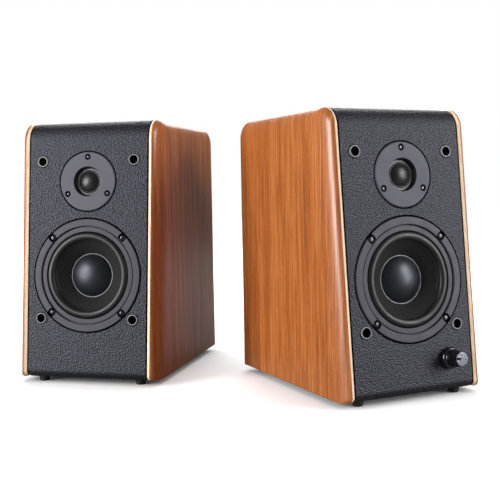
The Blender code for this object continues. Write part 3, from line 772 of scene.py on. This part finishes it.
def side_panel(speaker, side):
    """Veneered panel whose outer face rolls to the front and top, with an inner lip painted pale as a highlight.
    """
    steps = 14
    depths = [ROLL_ACROSS * (1 - math.cos(math.pi / 2 * i / steps)) for i in range(steps + 1)]
    levels = []
    for depth in depths:
        front = quarter(ROLL_ACROSS, ROLL_BACK, depth)
        above = quarter(ROLL_ACROSS, ROLL_DOWN, depth)
        insets = (front, above, quarter(2.0, 2.0, depth), quarter(1.2, 1.2, depth))
        levels.append((panel_outline(speaker, *insets), depth))
    levels.append((panel_outline(speaker, LIP_FALL, LIP_FALL, 0.3, LIP_FALL), PANEL_THICKNESS))
    outer = speaker.width / 2
    mesh = loft([(outline, side * (outer - depth)) for outline, depth in levels])
    # The inner lip gets the pale veneer: a painted highlight along the inner front edge.
    lip = (ROLL_ACROSS + 0.05, PANEL_THICKNESS - 0.05)
    mark(mesh, lambda middle: lip[0] < outer - side * middle.z < lip[1])
    normals = np.array([v.normal for v in mesh.vertices])
    places = np.array([v.co for v in mesh.vertices])
    faces_front = normals[:, 0] ** 2 / (normals[:, 0] ** 2 + normals[:, 1] ** 2 + 1e-6)
    inwards = outer * MM - side * places[:, 2]
    seed = side * GRAIN_BETWEEN + GRAIN_START[speaker.who]
    across = places[:, 0] - inwards * faces_front + seed
    grain = np.stack([across, places[:, 1], np.full(len(places), seed)], 1)
    attribute = mesh.attributes.new("grain", "FLOAT_VECTOR", "POINT")
    attribute.data.foreach_set("vector", grain.astype(np.float32).ravel())
    name = ("right" if side > 0 else "left") + "_side_panel"
    speaker.fine(name, mesh, speaker.sideways, WOOD, WOOD_EDGE_HIGHLIGHT)


def feet(speaker):
    """Rubber feet, tapered and hollow underneath."""
    profile = [(0, 5.1), (5.4, 5.1, 0.4), (5.3, 3.6, 0.8), (4.7, 0, 0.8), (2.4, 0, 0.3),
               (2.2, 1.2), (0, 1.2)]
    mesh = lathe(profile, SMALL)
    for corner in ("front_left_foot", "front_right_foot", "rear_left_foot", "rear_right_foot"):
        speaker.fine(corner, mesh.copy(), speaker.axis(corner, speaker.cabinet), RUBBER)


def socket_rings(speaker):
    """Cups that take the grille's pegs."""
    profile = [(4.3, 1.3, 0.3), (5.3, 1.3, 0.5), (5.5, -0.45), (4.6, -0.45), (4.6, -10.8),
               (0, -10.8), (0, -10), (4.2, -10)]
    mesh = lathe(profile, SMALL)
    # The inside of each cup gets the near-black material: painted shade.
    mark(mesh, lambda middle: middle.z < 0.9 and middle.xy.length < 4.4)
    sockets = joined([(mesh, at(*spot)) for spot in SOCKET_SPOTS])
    speaker.extra("grille_sockets", sockets, speaker.baffle, "satin_plastic", PALE_BEAD_AND_HIGHLIGHT, PAINTED_SHADE_AND_MARK)


def trim_ring(speaker, axis):
    """Flat ring round the woofer, with a notch at each screw."""
    mesh = lathe([(49.1, -1.9, 0.2), (49.1, 1.0, 0.45), (55.8, 1.0, 0.7), (55.8, -1.9, 0.2)], 128)
    places = ring_of(*WOOFER_SCREWS)
    notch = loft([(rectangle(9, 7.6, 3.7), SCREW_FLOOR), (rectangle(9.6, 8.2, 4.0), 3)])
    mesh = carve(mesh, copies(notch, places))
    # The notch floors round the screws get the near-black material: painted shade.
    mark(mesh, on_level(SCREW_FLOOR))
    speaker.fine("woofer_trim_ring", mesh, axis, RING, PAINTED_SHADE_AND_MARK)
    seats = [axis @ place @ at(0, 0, SCREW_SEAT) for place in places]
    screws(speaker, "woofer_screws", DRIVER_SCREW, seats)


def basket(speaker, axis):
    """Pressed frame: the rim that clamps the surround, four legs and the seat of the magnet."""
    profile = [(43.4, -10, 2), (43.4, -0.6, 0.5), (48.0, -0.6, 0.5), (48.0, -2.2),
               (55.6, -2.2, 0.2), (55.6, -3.7, 0.2), (46.2, -3.7, 0.5), (45, -10, 2), (36, -32, 3),
               (36, -45.6, 1), (16.5, -45.6), (16.5, -44), (34.4, -44, 0.6), (34.4, -32.4, 3)]
    mesh = lathe(profile)
    windows = copies(block(24, 110, 3, -30, -13, 3), [at(0, 0, 0, 45), at(0, 0, 0, -45)])
    speaker.fine("woofer_basket", carve(mesh, windows), axis, RING)


def lowered(points, by):
    """The other face of a thin sheet: the same points, lower and in reverse."""
    return [(r, height - by) for r, height in reversed(points)]


def flexible(speaker, part, profile, axis, material):
    """Turned sheet, shown instead of its CAD node, with its place baked into the mesh."""
    piece = new_object(speaker.node(part) + "_fine", lathe(profile, FINE, 1), axis, [material])
    moving = speaker.node("woofer_diaphragm")
    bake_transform(piece)
    SLOT_OF[speaker.node(part)]
    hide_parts(speaker.node(part))


def surround(speaker, axis):
    """Half-roll of butyl rubber, with the flange that is glued to the cone."""
    half_turn = np.linspace(0, math.pi, 25)
    outside = arc((39.1, -3.0), 4.0, 3.6, half_turn)
    inside = arc((39.1, -3.0), -3.4, 3.0, half_turn)
    flange = [(33.5, -4.25), (33.4, -4.45)]
    flexible(speaker, "woofer_surround", outside + flange + inside, axis, BUTYL)


def spider(speaker, axis):
    """Corrugated cloth disc that centres the voice coil."""
    inner, outer, waves = 13.6, 33.6, 6
    radii = np.linspace(inner, outer, 113)
    upper = [(r, -30 + 0.95 * math.sin(math.tau * (r - inner) / (outer - inner) * waves))
             for r in radii]
    sheet = upper + lowered(upper, 0.45)
    flexible(speaker, "woofer_spider", sheet, axis, SPIDER_CLOTH)


def dome(rise, base, rim, count):
    """Points on a spherical cap from its rim to its apex."""
    sphere = (rim ** 2 + rise ** 2) / (2 * rise)
    centre = base + rise - sphere
    radii = [rim * math.cos(math.pi / 2 * i / count) for i in range(count)]
    return [(r, centre + math.sqrt(sphere ** 2 - r ** 2)) for r in radii] + [(0, base + rise)]


def diaphragm(speaker, axis):
    """Cone, dust cap with its bead, and voice coil."""
    shares = np.linspace(0, 1, 25)
    front = [(34.8 - 21.2 * t, -3.6 - 16.5 * t + 0.8 * math.sin(math.pi * t)) for t in shares]
    speaker.fine("woofer_cone", lathe(front + lowered(front, 0.7)), axis, PAPER)
    cap = dome(7.8, -13.4, 21.3, 20)
    under = lowered(dome(7.6, -13.4, 20.7, 20), 0.6)
    speaker.fine("woofer_dust_cap", lathe(cap + under), axis, CAP)
    bead = arc((21.75, -13.15), 0.55, 0.5, np.linspace(0, math.tau, 13)[:-1])
    body = speaker.node("woofer_diaphragm")
    speaker.extra("dust_cap_bead", lathe(bead), axis, "dust_cap", PALE_BEAD_AND_HIGHLIGHT, body=body)
    coil = [(13.2, -18.6), (13.2, -42.5), (13.65, -42.9, 0.2), (13.65, -53, 0.2), (12.6, -53),
            (12.6, -18.6)]
    speaker.fine("woofer_voice_coil", lathe(coil, MEDIUM), axis, COPPER)


def motor(speaker, axis):
    """Front plate, ring magnet and yoke with its pole."""
    ring = [(35.5, -51.1, 1.2), (35.5, -63.2, 1.2), (17, -63.2, 1), (17, -51.1, 1)]
    speaker.fine("woofer_magnet", lathe(ring), axis, FERRITE)
    plate = [(34.5, -45.9, 0.6), (34.5, -51.05), (14.4, -51.05), (14.4, -45.9, 0.4)]
    speaker.extra("woofer_front_plate", lathe(plate), axis, "zinced_steel", ZINC)
    yoke = [(0, -46), (11.9, -46, 0.8), (11.9, -63.5, 1), (34.5, -63.5, 0.6), (34.5, -68.5, 0.8),
            (4, -68.5, 0.5), (3, -66), (0, -66)]
    speaker.fine("woofer_yoke", lathe(yoke), axis, ZINC)


def woofer(speaker):
    axis = speaker.axis("woofer_trim_ring", speaker.baffle)
    trim_ring(speaker, axis)
    basket(speaker, axis)
    surround(speaker, axis)
    spider(speaker, axis)
    diaphragm(speaker, axis)
    motor(speaker, axis)


def tweeter(speaker):
    """Soft dome in a shallow recess behind a round faceplate."""
    axis = speaker.axis("tweeter_faceplate", speaker.baffle)
    profile = [(14.9, 0.8, 0.5), (28.6, 0.8), (29.3, 0.1), (29.3, -2.8), (20.5, -2.8),
               (20.5, -5.8), (12, -5.8), (12, -4.4), (13.9, -4.4, 0.8)]
    places = ring_of(*TWEETER_SCREWS)
    hole = loft([(circle(3.0), SCREW_FLOOR), (circle(3.0), 0.4), (circle(3.9), 1.3)])
    mesh = carve(lathe(profile, 128), copies(hole, places))
    # The recess inside the faceplate gets the black plastic, darker than the face: painted shade down in the
    # recess.
    mark(mesh, lambda middle: middle.xy.length < 15.2 and middle.z < 0.6, 2)
    # The floors round the screws get the near-black material: painted shade.
    mark(mesh, on_level(SCREW_FLOOR))
    speaker.fine("tweeter_faceplate", mesh, axis, SATIN, PAINTED_SHADE_AND_MARK, BLACK)
    seats = [axis @ place @ at(0, 0, SCREW_SEAT) for place in places]
    screws(speaker, "tweeter_screws", TWEETER_SCREW, seats)
    trim = [(11.95, -4.45), (11.95, -3.9, 0.25), (12.8, -3.9, 0.25), (12.8, -4.45)]
    speaker.extra("tweeter_dome_ring", lathe(trim, MEDIUM), axis, "satin_plastic", PALE_BEAD_AND_HIGHLIGHT)
    cap = list(reversed(dome(3.6, -4.5, 10.1, 14)))
    roll = arc((10.9, -4.5), -0.75, 0.7, np.linspace(0.3, math.pi, 9))
    under = [(11.65, -4.9), (10.2, -4.95), (10.2, -9.5), (9.75, -9.5)]
    inside = [(r, height - 0.45) for r, height in dome(3.5, -4.5, 9.75, 12)]
    silk = lathe(cap + roll + under + inside, FINE, 1)
    speaker.fine("tweeter_dome", silk, axis, SILK)
    magnet = [(0, -6.2), (9.2, -6.2, 0.3), (9.2, -12), (10.8, -12), (10.8, -6.2, 0.3),
              (20, -6.2, 0.6), (20, -24, 1.2), (0, -24)]
    speaker.fine("tweeter_motor", lathe(magnet, MEDIUM), axis, FERRITE)


def port(speaker):
    """Bass port with a flared mouth."""
    flare = arc((23.4, -8), -6.4, 10.4, np.linspace(0, math.pi / 2, 11))
    wall = [(23.9, 2.2), (24, 1.8), (24, 0.3), (19, 0.3), (19, -87, 0.6), (17, -87, 0.6)]
    axis = speaker.rear_axis("port_tube")
    speaker.fine("port_tube", lathe(flare + wall, FINE, 3), axis, BLACK)


def back_panel(speaker, cutout_part, margin):
    """Painted board with the port's hole, the cut-out behind a plate and its screws."""
    middle, size = speaker.box("back_panel", speaker.rear)
    mesh = block(size[0], size[1], 0.5, -size[2], 0, 0.5, middle[:2])
    hole, _ = speaker.box("port_tube", speaker.rear)
    opening, opening_size = speaker.box(cutout_part, speaker.rear)
    width, height = opening_size[0] - margin[0], opening_size[1] - margin[1]
    cutout = rectangle(width, height, 2, opening[:2])
    cuts = [drum(PORT_HOLE, -12, 2, hole[:2], FINE), loft([(cutout, -12), (cutout, 2)])]
    speaker.fine("back_panel", carve(mesh, cuts), speaker.rear, PAINTED_BOARD)
    here = speaker.rear_axis("back_panel")
    side_screws(speaker, "back_panel", here, size, (5, 6), (-1, 0, 1))


def flute(point, count):
    """Depth, from 0 to 1, of the flutes round a grip."""
    return 0.5 + 0.5 * math.cos(count * math.atan2(point.y, point.x))


def volume_control(speaker):
    """Gloss knob with a ribbed grip and a bright end, on its potentiometer."""
    axis = speaker.axis("volume_knob", speaker.baffle)
    profile = [(0, 17.7), (6.4, 17.7), (6.4, 18.3), (7.0, 18.1, 0.4), (7.3, 9, 2), (7.9, 6.0, 1.2),
               (10, 5.6, 2.8), (10, 0.6, 0.4), (3, 0.6), (3, -17.5), (0, -17.5)]
    mesh = lathe(profile, 192)
    flutes, flute_depth = 32, 0.28
    for vertex in mesh.vertices:
        height, radius = vertex.co.z / MM, vertex.co.xy.length / MM
        if 8 < height < 18.25 and radius > 6.5:
            vertex.co.xy *= 1 - flute_depth * flute(vertex.co, flutes) / radius
    speaker.fine("volume_knob", mesh, axis, GLOSS)
    end = lathe([(0, 18.55), (6.3, 18.45, 0.3), (6.3, 17.75), (0, 17.75)], MEDIUM)
    pointer = block(1.9, 4.8, 0.7, 18.1, 19.5, 0.1, (0, 3.7))
    end = carve(end, [pointer])
    mark(end, on_level(18.1))
    pointer_at_rest = at(0, 0, 0, 82)
    speaker.extra("volume_knob_end", end, axis @ pointer_at_rest, "satin_plastic", KNOB_FACE, PAINTED_SHADE_AND_MARK,
                  body="volume_knob")
    can = [(3.5, -15.4), (8.5, -15.4, 0.8), (8.5, -24, 0.8), (0, -24), (0, -18.5), (3.5, -18.5)]
    speaker.fine("volume_potentiometer", lathe(can, SMALL), axis, ZINC)


def tone_knobs(speaker):
    """Two ribbed knobs, each in a ring of plain tick marks."""
    profile = [(0, 14), (5.6, 14, 0.5), (6.2, 13.2, 0.6), (6.5, 3.4, 0.3), (2.8, 3.4), (2.8, -20),
               (0, -20)]
    flutes, flute_share = 20, 0.035
    tick_radius = 9.2
    for tone in ("bass", "treble"):
        axis = speaker.rear_axis(tone + "_knob")
        mesh = lathe(profile, 120)
        for vertex in mesh.vertices:
            if 3.8 < vertex.co.z / MM < 13 and vertex.co.xy.length > 5 * MM:
                vertex.co.xy *= 1 - flute_share * flute(vertex.co, flutes)
        speaker.fine(tone + "_knob", mesh, axis, BLACK)
        pointer = block(0.9, 4.6, 0.3, 13.9, 14.0, 0.04, (0, 3.0))
        speaker.extra(tone + "_pointer", pointer, axis, "black_plastic", WHITE, body=tone + "_knob")
        tick = block(0.5, 1.5, 0.1, 2.45, 2.58, 0.04)
        ticks = [(tick, at(0, 0, 0, turn) @ at(0, tick_radius)) for turn in range(-150, 151, 30)]
        speaker.extra(tone + "_ticks", joined(ticks), axis, "painted_metal", WHITE)


def amp_plate(speaker):
    """Powder-coated plate, with a fitting hole round each control and socket."""
    middle, size = speaker.box("amp_plate", speaker.rear)
    low, high = middle[2] - size[2] / 2, middle[2] + size[2] / 2
    mesh = block(size[0], size[1], 4, low, high, 0.5, middle[:2])
    cuts = []
    for part in ("bass_knob", "treble_knob"):
        place, _ = speaker.box(part, speaker.rear)
        cuts.append(drum(3.2, low - 1, high + 1, place[:2]))
    for part in ("rca_block", "terminal_block", "switch_housing", "mains_inlet"):
        place, area = speaker.box(part, speaker.rear)
        hole = rectangle(area[0] + 0.4, area[1] + 0.4, 0.6, place[:2])
        cuts.append(loft([(hole, low - 1), (hole, high + 1)]))
    speaker.fine("amp_plate", carve(mesh, cuts), speaker.rear, POWDER)
    here = speaker.rear_axis("amp_plate")
    side_screws(speaker, "amp_plate", here, size, (5, 5), (-1, 0, 1), high)


def rca_block(speaker):
    """Four phono sockets: a block, plated barrels, and a coloured ring and core in each."""
    _, size = speaker.box("rca_block", speaker.rear)
    here = speaker.rear_axis("rca_block")
    body = block(size[0], size[1], 1.5, -14, 4, 0.8)
    reach = 7.5
    spots = [(x, y) for x in (-reach, reach) for y in (-reach, reach)]
    body = carve(body, [drum(1.7, -6, 6, spot) for spot in spots])
    speaker.fine("rca_block", body, here, BLACK)
    barrel = lathe([(3.1, 3.9), (3.1, 12, 0.2), (4.2, 12, 0.4), (4.2, 3.9)], SMALL)
    barrels = joined([(barrel, at(*spot)) for spot in spots])
    speaker.extra("phono_barrels", barrels, here, "zinced_steel", NICKEL)
    core = lathe([(1.6, 3.9), (1.6, 11.2, 0.2), (3.05, 11.2, 0.2), (3.05, 3.9)], SMALL)
    ring = lathe([(4.25, 3.9), (4.25, 4.7, 0.2), (5.7, 4.7, 0.3), (5.7, 3.9)], SMALL)
    colours = (("red", 1, RED, "red_plastic"), ("white", -1, WHITE, "satin_plastic"))
    for colour, side, material, slot in colours:
        parts = [(mesh, at(*spot)) for spot in spots if spot[0] * side > 0 for mesh in (core, ring)]
        speaker.extra(colour + "_socket_rings", joined(parts), here, slot, material)


def spring_terminals(speaker, part, plate_size=None):
    """Spring-clip terminals: block, pockets, wire holes and two ribbed levers."""
    here = speaker.rear_axis(part)
    body = block(44, 26, 1.5, -8, 5, 0.8)
    if plate_size:
        plate = block(*plate_size, 4, 0.3, 2.5, 0.5)
        body = carve(body, [plate], "UNION")
    cuts = [block(10.6, 18, 0.5, -5, 8, 0.2, (side * 10, 1)) for side in (-1, 1)]
    cuts += [drum(1.6, -4, 8, (side * 10, -10.4)) for side in (-1, 1)]
    speaker.fine(part, carve(body, cuts), here, BLACK, bevel=0.25)
    for side, name in ((-1, "left"), (1, "right")):
        lever = block(10, 15, 0.8, -2.5, 1.9, 0.6, (0, -6.1))
        across = Matrix.Rotation(math.pi / 2, 4, "Y")
        places = [at(0, -12.2 + 1.7 * number, 1.85) @ across for number in range(4)]
        lever = carve(lever, copies(drum(0.55, -4.2, 4.2), places), "UNION")
        colour = RED if side > 0 else BLACK
        centre, _ = speaker.box(name + "_terminal_lever", speaker.rear)
        spot = speaker.rear @ at(centre[0], centre[1] + 6.1, 3.5)
        speaker.fine(name + "_terminal_lever", lever, spot, colour)
    if plate_size:
        side_screws(speaker, part, here, plate_size, (5, 5), (-1, 1), 2.5)


def power_switch(speaker):
    """Switch housing with a rocker that is dished along its length."""
    here = speaker.rear_axis("switch_housing")
    housing = block(15, 24, 1.2, -16.5, 3.5, 0.8)
    pocket = block(11.6, 20.6, 0.8, -8, 6, 0.2)
    speaker.fine("switch_housing", carve(housing, [pocket]), here, BLACK)
    half = 9.4
    face = [(x, 2.2 + 0.8 * (x / half) ** 2) for x in np.linspace(-half, half, 13)]
    side_view = face + [(half, -1), (0, -3), (-half, -1)]
    tilt = Matrix.Rotation(math.radians(ROCKER_TILT), 2)
    outline = [tuple(tilt @ Vector(point)) for point in side_view]
    rocker = loft([(outline, -5.5), (outline, 5.5)])
    spot = here @ at(0, 0, 1.5) @ Matrix(((0, 0, 1), (1, 0, 0), (0, 1, 0))).to_4x4()
    speaker.fine("power_rocker", rocker, spot, GLOSS, bevel=0.5)


def mains_inlet(speaker):
    """Two-pin figure-eight inlet."""
    here = speaker.rear_axis("mains_inlet")
    body = block(28, 20, 1.5, -18, 3.5, 0.8)
    waist = rectangle(8.4, 6.6, 0.3)
    cuts = [drum(4.45, -12, 6, (side * 4.2, 0)) for side in (-1, 1)]
    cuts.append(loft([(waist, -12), (waist, 6)]))
    speaker.fine("mains_inlet", carve(body, cuts), here, BLACK, bevel=0.25)
    pin = lathe([(0, -2), (1.2, -2, 0.8), (1.2, -12.2), (0, -12.2)], SMALL)
    pins = joined([(pin, at(side * 4.3, 0)) for side in (-1, 1)])
    speaker.extra("inlet_pins", pins, here, "zinced_steel", NICKEL)


def build(who):
    speaker = Speaker(who)
    active = who == "active"
    shell(speaker, active)
    for side in (-1, 1):
        side_panel(speaker, side)
    feet(speaker)
    socket_rings(speaker)
    woofer(speaker)
    tweeter(speaker)
    port(speaker)
    if active:
        back_panel(speaker, "amp_plate", (12, 12))
        volume_control(speaker)
        tone_knobs(speaker)
        amp_plate(speaker)
        rca_block(speaker)
        spring_terminals(speaker, "terminal_block")
        power_switch(speaker)
        mains_inlet(speaker)
        finish_node("active_amp_board", BOARD)
        finish_node("active_transformer", ZINC)
    else:
        back_panel(speaker, "terminal_cup", (26, 28))
        spring_terminals(speaker, "terminal_cup", (76, 60))
        finish_node("passive_crossover_board", BOARD)


# ---------------------------------------------------------------- studio

CAMERA_PLACE = Vector((-0.3370, -0.8067, 0.1918))
CAMERA_HEADING = -25.42       # degrees about Z, from looking along +Y
CAMERA_DIP = 4.21             # degrees below the horizon
CAMERA_ROLL = -1.07
LENS = 61.37

# Softboxes: degrees left of the camera, degrees up, distance, size in metres, power in watts
SOFTBOXES = {
    "left": (60, 10, 2.6, (1.2, 1.7), 102),
    "right": (-68, 16, 2.6, (1.0, 1.7), 62),
    "back": (180, 34, 1.8, (1.6, 1.0), 26),
}
BACKDROP_LIGHT = 0.16         # how bright the surroundings are for the pieces; 1 for the camera
FLOOR_SIZE = 8000
FLOOR_THICKNESS = 20
FLOOR_DROP = 0.2              # the floor lies this far below the feet


def camera():
    data = bpy.data.cameras.new("camera")
    data.sensor_width = 36
    data.lens = LENS
    data.clip_start = 0.05
    shot = bpy.data.objects.new("camera", data)
    heading = Matrix.Rotation(math.radians(CAMERA_HEADING), 4, "Z")
    dip = Matrix.Rotation(math.radians(90 - CAMERA_DIP), 4, "X")
    roll = Matrix.Rotation(math.radians(CAMERA_ROLL), 4, "Z")
    shot.matrix_world = Matrix.Translation(CAMERA_PLACE) @ heading @ dip @ roll
    bpy.context.scene.collection.objects.link(shot)
    bpy.context.scene.camera = shot


def softbox(target, name, azimuth, elevation, distance, size, power):
    """Area light that faces the target."""
    around = math.radians(CAMERA_HEADING - 90 - azimuth)
    rise = math.radians(elevation)
    level = math.cos(rise)
    direction = Vector((math.cos(around) * level, math.sin(around) * level, math.sin(rise)))
    data = bpy.data.lights.new(name, "AREA")
    data.shape = "RECTANGLE"
    data.size, data.size_y = size
    data.energy = power
    light = bpy.data.objects.new(name, data)
    light.location = target + direction * distance
    light.rotation_mode = "QUATERNION"
    light.rotation_quaternion = (-direction).to_track_quat("-Z", "Y")
    bpy.context.scene.collection.objects.link(light)


def studio_paper():
    """White paper. For the camera it has a painted glow that grows towards its far edges and is dimmed by a
    painted contact shadow near the pieces. The pieces see a greyer paper without glow.
    """
    finish = Finish("studio_paper", 0.9)
    pulp_tone = finish.noise(3, 2.0)
    bright = finish.ramp(pulp_tone, [(0.3, (0.82, 0.82, 0.83)), (0.7, (0.86, 0.86, 0.87))])
    seen = finish.add("LightPath", {}).outputs["Is Camera Ray"]
    finish.join("Base Color", finish.mix(seen, (0.26, 0.26, 0.26), bright))
    finish.bump(pulp_tone, 0.02)
    # The camera's glow is painted light: the paper glows though it is no lamp, more towards its far edges.
    away = finish.add("VectorMath", {0: finish.where}, operation="LENGTH").outputs["Value"]
    glow = finish.spread(away, 0.35, 0.8, 0.66, 1.0)
    # Ambient occlusion dims that glow under and beside the pieces: a painted contact shadow.
    painted_contact_shadow = finish.add("AmbientOcclusion", {"Distance": 0.07}, samples=4).outputs["AO"]
    glow = finish.maths("MULTIPLY", glow, painted_contact_shadow)
    finish.shader.inputs["Emission Color"].default_value = (1, 1, 1, 1)
    finish.join("Emission Strength", finish.maths("MULTIPLY", glow, seen))
    return finish.material


def studio():
    low, high = CAD_BOX
    target = (low + high) / 2
    for name, settings in SOFTBOXES.items():
        softbox(target, name, *settings)
    floor_mesh = block(FLOOR_SIZE, FLOOR_SIZE, 10, -FLOOR_THICKNESS, -FLOOR_DROP, 2)
    floor = bpy.data.objects.new("floor", floor_mesh)
    floor_mesh.materials.append(studio_paper())
    bpy.context.scene.collection.objects.link(floor)
    world = bpy.data.worlds.new("studio")
    world.use_nodes = True
    nodes, links = world.node_tree.nodes, world.node_tree.links
    backdrop = nodes["Background"]
    backdrop.inputs["Color"].default_value = (1, 1, 1, 1)
    seen = nodes.new("ShaderNodeLightPath").outputs["Is Camera Ray"]
    strength = nodes.new("ShaderNodeMapRange")
    strength.inputs["To Min"].default_value = BACKDROP_LIGHT
    strength.inputs["To Max"].default_value = 1.0
    links.new(seen, strength.inputs["Value"])
    links.new(strength.outputs["Result"], backdrop.inputs["Strength"])
    bpy.context.scene.world = world
    bpy.context.scene.view_settings.view_transform = "Standard"
    bpy.context.scene.view_settings.look = "None"


camera()
for who in ("active", "passive"):
    build(who)
studio()
